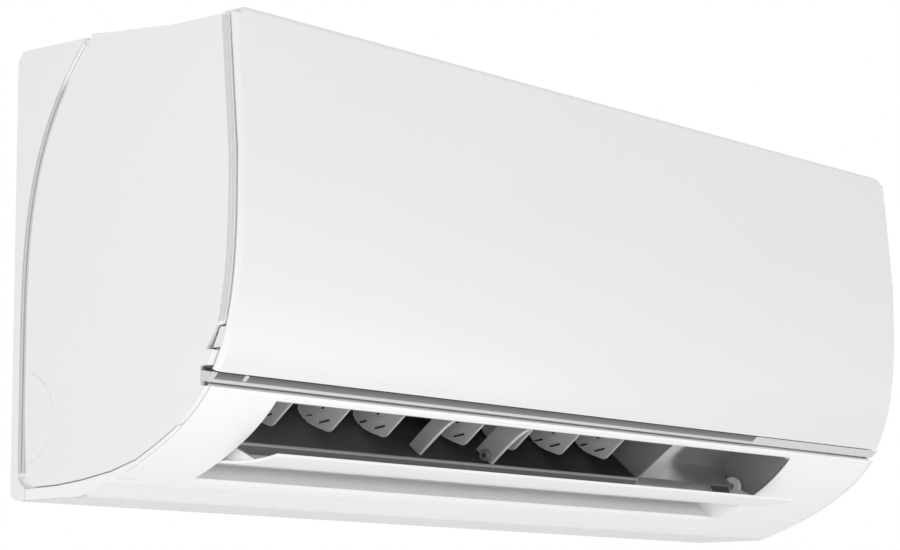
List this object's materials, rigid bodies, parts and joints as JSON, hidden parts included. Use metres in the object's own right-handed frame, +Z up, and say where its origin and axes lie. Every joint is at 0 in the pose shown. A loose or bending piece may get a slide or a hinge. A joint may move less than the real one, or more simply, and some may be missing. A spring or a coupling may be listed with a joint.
{
  "type": "wall-mounted air conditioner indoor unit",
  "caption": "Wall-mounted split air conditioner indoor unit: lifting curved front panel, slotted intake on top, air outlet below with swinging flap, linked vanes and cross-flow fan.",
  "frame": {"origin": "centre of the mounting plate's back face, on the wall", "axes": "+X to the right for someone facing the unit, +Y into the wall, +Z up"},
  "size_m": [0.798, 0.204, 0.3],
  "materials": {
    "case_white": "satin white moulded plastic",
    "panel_white": "glossy white moulded plastic",
    "strip_smoke": "smoked glossy plastic",
    "strip_grey": "silver-grey plastic",
    "vane_grey": "mid-grey moulded plastic",
    "fan_black": "black moulded plastic",
    "copper": "drawn copper tube",
    "brass": "machined brass",
    "aluminium": "thin aluminium fins",
    "zinc_steel": "zinc-plated sheet steel",
    "rubber": "black rubber",
    "board_green": "coated circuit board",
    "filter_grey": "grey filter frame",
    "motor_white": "off-white moulded plastic"
  },
  "bodies": {
    "casing": {"base_chassis": "case_white", "mounting_plate": "zinc_steel", "left_side_cover": "case_white", "right_side_cover": "case_white", "front_frame": "case_white", "display_strip": "strip_smoke", "strip_end": "strip_grey", "fan_bearing": "brass", "bearing_seat": "rubber", "fan_motor": "motor_white", "motor_bed": "case_white", "motor_clamp": "zinc_steel", "drain_pan": "case_white", "duct_fairing": "case_white", "flap_motor": "zinc_steel", "coil_front_lower": "aluminium", "coil_front_upper": "aluminium", "coil_rear": "aluminium", "coil_plate_left": "zinc_steel", "coil_plate_right": "zinc_steel", "evaporator_tube": "copper", "gas_pipe": "copper", "liquid_pipe": "copper", "gas_flare_nut": "brass", "liquid_flare_nut": "brass", "filter_left": "filter_grey", "filter_right": "filter_grey", "top_grille": "case_white", "control_box": "case_white", "control_box_lid": "zinc_steel", "main_board": "board_green", "terminal_block": "motor_white", "display_board": "board_green", "button_switch": "fan_black", "drain_spout": "case_white"},
    "panel": {"front_panel": "panel_white"},
    "flap": {"flap_outer_skin": "panel_white", "flap_inner_liner": "panel_white"},
    "fan": {"cross_flow_fan": "fan_black"},
    "left_vane_1": {"vane_left_1": "vane_grey"},
    "left_vane_2": {"vane_left_2": "vane_grey"},
    "left_vane_3": {"vane_left_3": "vane_grey"},
    "left_link": {"vane_link_left": "vane_grey"},
    "right_vane_1": {"vane_right_1": "vane_grey"},
    "right_vane_2": {"vane_right_2": "vane_grey"},
    "right_vane_3": {"vane_right_3": "vane_grey"},
    "right_vane_4": {"vane_right_4": "vane_grey"},
    "right_link": {"vane_link_right": "vane_grey"},
    "button": {"manual_button": "strip_grey"}
  },
  "joints": [
    {"name": "panel_hinge", "type": "hinge", "parent": "casing", "child": "panel", "pos_m": [0, -0.1785, 0.1145], "axis": [-1, 0, 0], "range_deg": [0, 50]},
    {"name": "flap_hinge", "type": "hinge", "parent": "casing", "child": "flap", "pos_m": [0, -0.121, -0.1405], "axis": [1, 0, 0], "range_deg": [-35, 25]},
    {"name": "fan_spin", "type": "hinge", "parent": "casing", "child": "fan", "pos_m": [0, -0.092, -0.046], "axis": [1, 0, 0], "continuous": true},
    {"name": "left_vane_swing", "type": "hinge", "parent": "casing", "child": "left_vane_1", "pos_m": [-0.28, -0.14997, -0.09591], "axis": [0, 0.7836, -0.6213], "range_deg": [-35, 35]},
    {"name": "left_vane_2_swing", "type": "hinge", "parent": "casing", "child": "left_vane_2", "pos_m": [-0.223, -0.14997, -0.09591], "axis": [0, 0.7836, -0.6213], "range_deg": [-35, 35]},
    {"name": "left_vane_3_swing", "type": "hinge", "parent": "casing", "child": "left_vane_3", "pos_m": [-0.166, -0.14997, -0.09591], "axis": [0, 0.7836, -0.6213], "range_deg": [-35, 35]},
    {"name": "left_link_slide", "type": "slide", "parent": "casing", "child": "left_link", "axis": [1, 0, 0], "range_m": [-0.0125, 0.0125]},
    {"name": "right_vane_swing", "type": "hinge", "parent": "casing", "child": "right_vane_1", "pos_m": [-0.079, -0.14997, -0.09591], "axis": [0, 0.7836, -0.6213], "range_deg": [-35, 35]},
    {"name": "right_vane_2_swing", "type": "hinge", "parent": "casing", "child": "right_vane_2", "pos_m": [-0.022, -0.14997, -0.09591], "axis": [0, 0.7836, -0.6213], "range_deg": [-35, 35]},
    {"name": "right_vane_3_swing", "type": "hinge", "parent": "casing", "child": "right_vane_3", "pos_m": [0.035, -0.14997, -0.09591], "axis": [0, 0.7836, -0.6213], "range_deg": [-35, 35]},
    {"name": "right_vane_4_swing", "type": "hinge", "parent": "casing", "child": "right_vane_4", "pos_m": [0.092, -0.14997, -0.09591], "axis": [0, 0.7836, -0.6213], "range_deg": [-35, 35]},
    {"name": "right_link_slide", "type": "slide", "parent": "casing", "child": "right_link", "axis": [1, 0, 0], "range_m": [-0.0125, 0.0125]},
    {"name": "button_press", "type": "slide", "parent": "casing", "child": "button", "axis": [0, 1, 0], "range_m": [0, 0.0012], "stiffness_N_per_m": 400, "springref_m": -0.001}
  ],
  "couplings": [
    {"joint": "left_vane_2_swing", "follows": "left_vane_swing", "ratio": 1},
    {"joint": "left_vane_3_swing", "follows": "left_vane_swing", "ratio": 1},
    {"joint": "left_link_slide", "follows": "left_vane_swing", "m_per_rad": 0.0195},
    {"joint": "right_vane_2_swing", "follows": "right_vane_swing", "ratio": 1},
    {"joint": "right_vane_3_swing", "follows": "right_vane_swing", "ratio": 1},
    {"joint": "right_vane_4_swing", "follows": "right_vane_swing", "ratio": 1},
    {"joint": "right_link_slide", "follows": "right_vane_swing", "m_per_rad": 0.0195}
  ]
}
